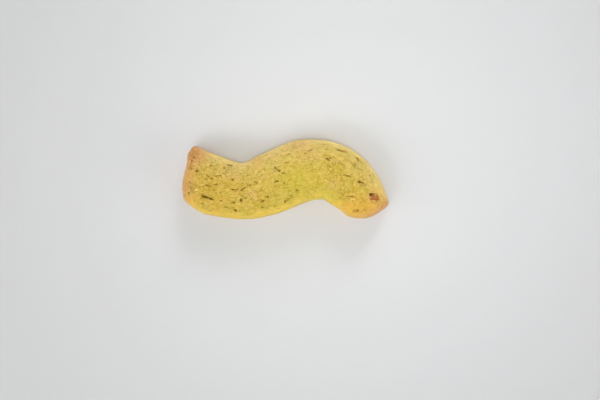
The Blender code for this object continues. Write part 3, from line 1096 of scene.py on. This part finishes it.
    def readings(self, points: np.ndarray, normals: np.ndarray, flow: np.ndarray) -> dict[str, np.ndarray]:
        """Work out what the relief and the finish read at each point of the skin.

        Args:
            points: The skin's points in mm.
            normals: The skin's normals at them.
            flow: Their places in the straightened rope, in mm.

        Returns:
            The readings by the name of their attribute.
        """
        z, level, run = points[:, 2], normals[:, 2], flow[:, 0]
        # The side that faces the lamp from +Y gets a painted sheen in the finish.
        across, ahead = self.lamp_side_facing
        lee = smoothstep(*self.lamp_side_band, ahead * normals[:, 1] + across * normals[:, 0])
        rough, rim = (
            smoothstep(*(start + shift * lee for start, shift in band), level)
            for band in (self.rough_band, self.rim_band)
        )
        rough = rough * (1.0 - self.spotted(points, self.calm))
        cut = np.exp(-(run / self.cut_relief_reach) ** 2)
        wall = 1.0 - smoothstep(*self.wall_band, level)
        crumbly = np.maximum(self.calm_relief + (1.0 - self.calm_relief) * rough, cut)
        crumbly = np.maximum(crumbly, self.wall_relief * wall)
        toast = self.spotted(points, self.toasted)
        for away, (reach, strength) in (
            (run, self.cut_browning), (self.rope.arc()[1][-1] - run, self.tip_browning),
        ):
            toast += strength * np.exp(-(away / reach) ** 2)
        toast += self.foot_browning[1] * (1.0 - smoothstep(0.0, self.foot_browning[0], z))
        return {
            "flow": flow,
            "pit": self.press_slits(points, normals) * smoothstep(*self.pit_rise, z),
            "share": smoothstep(*self.relief_rise, z) * crumbly,
            "rim": (1.0 - rim) * (1.0 - self.wall_rim_loss * wall),
            "lee": lee,
            "toast": toast,
            "paste": self.spotted(points, self.fresh) * (1.0 - self.wall_paste_loss * wall),
            "blush": self.spotted(points, self.blush),
            "amber": self.spotted(points, self.amber),
            "under": 1.0 - smoothstep(0.0, self.underside_rise, z),
        }

    def build(self) -> bpy.types.Object:
        """Make the crust and put it where the fixed frame has the cookie.

        Returns:
            The finished piece.
        """
        skin, flow = self.rope.skin()
        points, normals = read_vectors(skin) / MM, read_vectors(skin, normals=True)
        for name, values in self.readings(points, normals, flow).items():
            store(skin, name, values)
        start = new_object("skin", skin)
        crust = new_object("crust", grow(start, self.relief_tree(), self.finish.material()))
        bpy.data.objects.remove(start, do_unlink=True)
        crust.data.shade_smooth()
        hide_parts(NODE)
        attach(crust, BODY)
        return crust


class CrustTop:
    """The upper face of the finished crust, for setting things into it."""

    def __init__(self, crust: bpy.types.Object) -> None:
        """Read the crust's points and sort those that face up.

        Args:
            crust: The finished crust.
        """
        self.points = read_vectors(crust.data) / MM
        self.normals = read_vectors(crust.data, normals=True)
        self.crown = np.flatnonzero(self.normals[:, 2] > CROWN_LEVEL)
        self.finder = finder(self.points, self.crown, from_above=True)

    def at(self, x: float, y: float, reach: float = 0.7) -> tuple[Vector, Vector]:
        """Find the crust under a place.

        Args:
            x: The place, seen from above, in mm.
            y: The same, across.
            reach: How far round it the crust is averaged, in mm.

        Returns:
            The point on the crust in mm, and the way it faces.
        """
        near = [k for _, k, _ in self.finder.find_range((x, y, 0.0), reach)]
        if not near:
            near = [self.finder.find((x, y, 0.0))[1]]
        way = Vector(self.normals[near].mean(axis=0)).normalized()
        return Vector((x, y, self.points[near, 2].mean())), way


@dataclass(frozen=True)
class NutFinish:
    """Crushed roasted pistachio: waxy green-yellow flesh, brown-red papery skin, and sugar that melted."""

    flesh: str = "#D8BE50"
    skin: str = "#C47E3C"
    skin_dark: str = "#964F1C"
    browned: str = "#CC9638"
    sugar: str = "#F1D880"
    roughness: float = 0.66
    specular: float = 0.25
    vein_mm: float = 0.7
    vein_height_mm: float = 0.08
    vein_strength: float = 0.4
    shades: tuple[float, float] = (0.80, 1.15)

    def material(self) -> bpy.types.Material:
        """Build the material, which reads what each bit shows from its own attributes.

        Returns:
            The material.
        """
        # Broken with flat faces: the flesh has a faint waxy sheen, and the skin is dry, veined and papery.
        made, shader = start_material(
            "crushed_roasted_pistachio", {"Roughness": self.roughness, "Specular IOR Level": self.specular}
        )
        tree = made.node_tree
        add = partial(add_node, tree)
        veins = add("ShaderNodeTexNoise", {
            "Vector": add("ShaderNodeTexCoord").outputs["Object"], "Scale": 1.0 / (self.vein_mm * MM),
            "Detail": 3.0, "Roughness": 0.65,
        })
        patterns = {
            name: add("ShaderNodeAttribute", attribute_name=name).outputs["Fac"]
            for name in ("browned", "sugar", "skin", "shade")
        }
        patterns["veins"] = veins.outputs[0]
        colour = lay_colours(tree, self.flesh, (
            Layer(self.browned, (Part("browned"),)),
            Layer(self.sugar, (Part("sugar"),)),
            Layer(self.skin_dark, (Part("skin"),), self.skin, (Part("veins", 0.40, 0.60),)),
        ), patterns)
        mottled = add("ShaderNodeMath", {0: veins, 1: 0.5, 2: patterns["shade"]}, operation="MULTIPLY_ADD")
        dark, light = self.shades
        value = add("ShaderNodeMapRange", {
            "Value": mottled, "From Max": 1.5, "To Min": dark, "To Max": light,
        })
        toned = add("ShaderNodeHueSaturation", {"Value": value, "Color": colour})
        bump = add("ShaderNodeBump", {
            "Strength": self.vein_strength, "Distance": self.vein_height_mm * MM, "Height": veins,
        })
        tree.links.new(toned.outputs[0], shader.inputs["Base Color"])
        tree.links.new(bump.outputs[0], shader.inputs["Normal"])
        return made


@dataclass
class CrushedNuts:
    """Bits of crushed pistachio baked into the top of the crust."""

    top: CrustTop
    finish: NutFinish
    seed: int = 41
    strewn: int = 56
    strewn_reach: float = 27.0
    strewn_level: float = 0.80
    strewn_length: tuple[float, float] = (0.50, 1.15)
    strewn_slimness: tuple[float, float] = (0.55, 0.95)
    strewn_proud: tuple[float, float] = (0.04, 0.16)
    strewn_kinds: tuple[NutKind, ...] = (
        NutKind.FLESH, NutKind.FLESH, NutKind.FLESH, NutKind.INNER, NutKind.SUGAR,
    )
    thickness: float = 0.62
    buried: float = 0.40
    cuts: int = 5
    cut_reach: tuple[float, float] = (0.24, 0.38)
    # The ball's swell, its lumps and their fineness, before it is cut, and its swell after.
    swell: float = 1.12
    lumps: float = 0.35
    lump_fineness: float = 2.6
    lump_shift: float = 50.0
    fullness: float = 1.15

    def strewn_bits(self, rng: random.Random) -> list[NutBit]:
        """Draw the small bits at random over the crown.

        Args:
            rng: Where they are drawn from.

        Returns:
            The bits.
        """
        found = []
        flat = self.top.crown[self.top.normals[self.top.crown, 2] > self.strewn_level]
        for _ in range(self.strewn):
            x, y, _ = self.top.points[flat[rng.randrange(len(flat))]]
            if abs(x) > self.strewn_reach:
                continue
            length = rng.uniform(*self.strewn_length)
            width = length * rng.uniform(*self.strewn_slimness)
            turn, proud = rng.uniform(0.0, 180.0), rng.uniform(*self.strewn_proud)
            found.append(NutBit(x, y, length, width, turn, proud, rng.choice(self.strewn_kinds)))
        return found

    def chip(self, shape: bmesh.types.BMesh, bit: NutBit, rng: random.Random) -> int:
        """Break a bit of nut out of a ball with flat cuts and set it into the crust.

        Args:
            shape: The mesh that gets the bit.
            bit: The bit's place, size and kind.
            rng: Where its cuts are drawn from.

        Returns:
            How many points the bit has.
        """
        made = bmesh.ops.create_icosphere(shape, subdivisions=2, radius=0.5)["verts"]
        facings = [Vector([rng.gauss(0.0, 1.0) for _ in range(3)]).normalized() for _ in range(self.cuts)]
        reaches = [rng.uniform(*self.cut_reach) for _ in facings]
        shift = Vector([rng.uniform(0.0, self.lump_shift) for _ in range(3)])
        tall = bit.width * self.thickness
        ground, facing = self.top.at(bit.x, bit.y)
        turn = math.radians(bit.turn_deg)
        along = Vector((math.cos(turn), math.sin(turn), 0.0))
        along = (along - facing * along.dot(facing)).normalized()
        turned = Matrix((along, facing.cross(along), facing)).transposed()
        centre = ground + facing * (bit.proud - self.buried * tall)
        for vert in made:
            vert.co *= self.swell + self.lumps * noise.noise(vert.co * self.lump_fineness + shift)
            for way, reach in zip(facings, reaches):
                vert.co -= way * max(0.0, vert.co.dot(way) - reach)
            x, y, z = vert.co
            sized = Vector((x * bit.length, y * bit.width, z * tall)) * self.fullness
            vert.co = (turned @ sized + centre) * MM
        return len(made)

    def build(self) -> bpy.types.Object:
        """Make all the bits as one piece.

        Returns:
            The finished piece.
        """
        shape = bmesh.new()
        shows: list[tuple[float, ...]] = []
        for number, bit in enumerate([*NUT_BITS, *self.strewn_bits(random.Random(self.seed))]):
            own = random.Random(self.seed + number)
            count = self.chip(shape, bit, own)
            shows += [(*bit.kind.value, own.random())] * count
        bmesh.ops.recalc_face_normals(shape, faces=shape.faces)
        mesh = bpy.data.meshes.new("crushed_nuts")
        shape.to_mesh(mesh)
        shape.free()
        for name, column in zip(("skin", "browned", "sugar", "shade"), np.array(shows).T):
            store(mesh, name, column)
        mesh.materials.append(self.finish.material())
        mesh.shade_smooth()
        nuts = new_object("crushed_nuts", mesh)
        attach(nuts, BODY)
        return nuts


@dataclass(frozen=True)
class CrumbFinish:
    """Loose grains of the same baked dough, each broken open: dry, matt, from cream to toasted."""

    tones: tuple[str, ...] = ("#CDAC3C", "#DBBD48", "#E3C552", "#E8CB62", "#F0D77C")
    tone_blur: float = 0.08
    roughness: float = 0.85
    specular: float = 0.25

    def material(self) -> bpy.types.Material:
        """Build the material, which picks a tone for each grain.

        Returns:
            The material.
        """
        # Grains this small show no pattern of their own, only how dark each one baked.
        made, shader = start_material(
            "loose_shortbread_crumbs", {"Roughness": self.roughness, "Specular IOR Level": self.specular}
        )
        tree = made.node_tree
        layers = []
        for number, tone in enumerate(self.tones[1:]):
            step = (number + 0.5) / (len(self.tones) - 0.5)
            layers.append(Layer(tone, (Part("grain", step - self.tone_blur, step + self.tone_blur),)))
        grain = add_node(tree, "ShaderNodeAttribute", attribute_name="grain").outputs["Fac"]
        colour = lay_colours(tree, self.tones[0], layers, {"grain": grain})
        tree.links.new(colour, shader.inputs["Base Color"])
        return made


@dataclass
class LooseCrumbs:
    """Fine crumbs that stuck to the crust while it baked."""

    crust: bpy.types.Object
    finish: CrumbFinish
    per_square_cm: float = 80.0
    least_mm: float = 0.18
    most_mm: float = 0.38
    lumps_per_grain: float = 2.3
    seed: int = 5
    lies_where: tuple[Part, ...] = (
        Part("share", 0.45, 1.0), Part("cavity", 0.0, 0.25, 1.0, 0.0),
        Part("toast", 0.10, 0.45, 1.0, 0.0), Part("rim", 0.20, 0.55, 1.0, 0.0),
    )

    def tree(self) -> bpy.types.NodeTree:
        """Build the tree that strews uneven grains over the crown.

        Returns:
            A tree with named sizes in mm, which ends in Realize Instances and Set Material.
        """
        tree, given = open_tree("loose_crumbs", {
            "Grains per m2": self.per_square_cm * 1e4, "Least Size": self.least_mm,
            "Most Size": self.most_mm, "Seed": self.seed,
        })
        add = partial(add_node, tree)
        density = given.outputs["Grains per m2"]
        for part in self.lies_where:
            reading = add("GeometryNodeInputNamedAttribute", {"Name": part.pattern}, data_type="FLOAT")
            share = add("ShaderNodeMapRange", {
                "Value": reading, "From Min": part.low, "From Max": part.high,
                "To Min": part.least, "To Max": part.most,
            })
            density = add("ShaderNodeMath", {0: density, 1: share}, operation="MULTIPLY")
        places = add("GeometryNodeDistributePointsOnFaces", {
            "Mesh": given.outputs["Geometry"], "Density": density, "Seed": given.outputs["Seed"],
        }, distribute_method="RANDOM")
        ball = add("GeometryNodeMeshIcoSphere", {"Radius": 0.5, "Subdivisions": 1})
        uneven = add("ShaderNodeTexNoise", {"Scale": self.lumps_per_grain, "Detail": 1.0})
        pull = add("ShaderNodeVectorMath", {0: uneven.outputs[1], 1: (0.5, 0.5, 0.5)}, operation="SUBTRACT")
        grain = add("GeometryNodeSetPosition", {"Geometry": ball, "Offset": pull})
        turns = {0: (0.0, 0.0, 0.0), 1: (math.tau, math.tau, math.tau), RANDOM_SEED: 1}
        turn = add("FunctionNodeRandomValue", turns, data_type="FLOAT_VECTOR")
        least, most = (
            add("ShaderNodeMath", {0: given.outputs[name], 1: MM}, operation="MULTIPLY")
            for name in ("Least Size", "Most Size")
        )
        between = {0: least, 1: most, RANDOM_SEED: 2}
        sizes = add("FunctionNodeRandomValue", between, data_type="FLOAT_VECTOR")
        strewn = add("GeometryNodeInstanceOnPoints", {
            "Points": places, "Instance": grain, "Rotation": turn, "Scale": sizes,
        })
        tones = {NUMBER_LOW: 0.0, NUMBER_HIGH: 1.0, RANDOM_SEED: 3}
        tone = add("FunctionNodeRandomValue", tones, data_type="FLOAT").outputs[NUMBER_RESULT]
        toned = add("GeometryNodeStoreNamedAttribute", {
            "Geometry": strewn, "Name": "grain", "Value": tone,
        }, data_type="FLOAT", domain="INSTANCE")
        return close_tree(tree, given, toned)

    def build(self) -> bpy.types.Object:
        """Make all the crumbs as one piece.

        Returns:
            The finished piece.
        """
        crumbs = new_object("loose_crumbs", grow(self.crust, self.tree(), self.finish.material()))
        crumbs.data.name = "loose_crumbs"
        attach(crumbs, BODY)
        return crumbs


class Lamp(NamedTuple):
    """A soft lamp: the way to it, its share of the light on the floor, its size, and where it points.

    Its spread is how wide it shines. A narrow one lights a pool that fades towards its rim.
    """

    azimuth_deg: float
    elevation_deg: float
    share: float
    size: float
    aim: tuple[float, float] = (0.0, 0.0)
    spread_deg: float = 180.0


@dataclass
class Studio:
    """A plain pale table top under soft lamps, seen from straight above.

    The first lamp's share is small because its narrow spread gathers the light.
    """

    floor: str = "#DFE0E0"
    floor_size: float = 3000.0
    floor_gap: float = 0.02
    floor_roughness: float = 0.75
    floor_specular: float = 0.15
    ambient: str = "#FFFFFF"
    ambient_share: float = 0.240
    exposure_level: float = 1.005
    lens_mm: float = 60.0
    sensor_mm: float = 36.0
    sees_m: tuple[float, float] = (0.01, 20.0)
    waist_height: float = 4.5
    lamp_distance: float = 1000.0
    lamps: tuple[Lamp, ...] = (
        Lamp(-100.0, 82.0, 0.0033, 150.0, (26.0, 11.0), 17.4),
        Lamp(-128.0, 42.0, 0.205, 360.0),
        Lamp(74.0, 28.0, 0.200, 420.0),
        Lamp(-27.0, 25.0, 0.095, 420.0),
        Lamp(-162.0, 25.0, 0.075, 420.0),
    )

    def make_floor(self) -> None:
        """Lay a plain table top, a matt lacquered board, just under the cookie's foot."""
        mesh = bpy.data.meshes.new("table_top")
        shape = bmesh.new()
        bmesh.ops.create_grid(shape, x_segments=2, y_segments=2, size=self.floor_size / 2 * MM)
        bmesh.ops.translate(shape, verts=shape.verts, vec=(0.0, 0.0, -self.floor_gap * MM))
        shape.to_mesh(mesh)
        shape.free()
        board = new_object("table_top", mesh)
        lacquer, _ = start_material("matt_white_lacquer", {
            "Base Color": linear(self.floor), "Roughness": self.floor_roughness,
            "Specular IOR Level": self.floor_specular,
        })
        mesh.materials.append(lacquer)

    def make_lamps(self) -> None:
        """Hang the lamps and set the even light of the room."""
        for number, lamp in enumerate(self.lamps, start=1):
            azimuth, elevation = math.radians(lamp.azimuth_deg), math.radians(lamp.elevation_deg)
            way = Vector((
                math.cos(azimuth) * math.cos(elevation), math.sin(azimuth) * math.cos(elevation),
                math.sin(elevation),
            ))
            distance = self.lamp_distance * MM
            data = bpy.data.lights.new(f"lamp_{number}", "AREA")
            data.shape = "DISK"
            data.size = lamp.size * MM
            data.spread = math.radians(lamp.spread_deg)
            lit = lamp.share * self.exposure_level * math.pi
            data.energy = lit * math.pi * distance ** 2 / math.sin(elevation)
            made = bpy.data.objects.new(data.name, data)
            back = way * distance - Vector((*lamp.aim, 0.0)) * MM
            turned = back.to_track_quat("Z", "Y").to_matrix().to_4x4()
            made.matrix_world = Matrix.Translation(way * distance) @ turned
            bpy.context.scene.collection.objects.link(made)
        world = bpy.data.worlds.new("even_room_light")
        world.use_nodes = True
        background = world.node_tree.nodes["Background"]
        background.inputs["Color"].default_value = linear(self.ambient)
        background.inputs["Strength"].default_value = self.ambient_share * self.exposure_level
        bpy.context.scene.world = world

    def make_camera(self) -> None:
        """Hang the camera so that the cookie's middle falls on its place in the picture."""
        middle_x = (IMAGE_SIZE[0] / 2 - COOKIE_PIXEL[0]) * PIXEL_MM
        middle_y = -(IMAGE_SIZE[1] / 2 - COOKIE_PIXEL[1]) * PIXEL_MM
        distance = IMAGE_SIZE[0] * PIXEL_MM * self.lens_mm / self.sensor_mm
        data = bpy.data.cameras.new("camera")
        data.lens = self.lens_mm
        data.sensor_width = self.sensor_mm
        data.clip_start, data.clip_end = self.sees_m
        camera = bpy.data.objects.new("camera", data)
        camera.location = Vector((middle_x, middle_y, self.waist_height + distance)) * MM
        bpy.context.scene.collection.objects.link(camera)
        bpy.context.scene.camera = camera

    def build(self) -> None:
        """Set up the camera, the floor and the light."""
        self.make_camera()
        self.make_floor()
        self.make_lamps()
        view = bpy.context.scene.view_settings
        view.view_transform = "Standard"
        view.look = "None"


def main() -> None:
    """Build the studio and the cookie's pieces in order, and report each piece."""
    logging.basicConfig(level=logging.INFO, format="%(name)s: %(message)s")
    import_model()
    Studio().build()
    crust = Crust(Rope(), ShortbreadFinish()).build()
    pieces = [
        crust,
        CrushedNuts(CrustTop(crust), NutFinish()).build(),
        LooseCrumbs(crust, CrumbFinish()).build(),
    ]
    for piece in pieces:
        piece.data.calc_loop_triangles()
        size = " x ".join(f"{side / MM:.2f}" for side in piece.dimensions)
        log.info("%s: %d triangles, %s mm", piece.name, len(piece.data.loop_triangles), size)


if __name__ == "__main__":
    main()
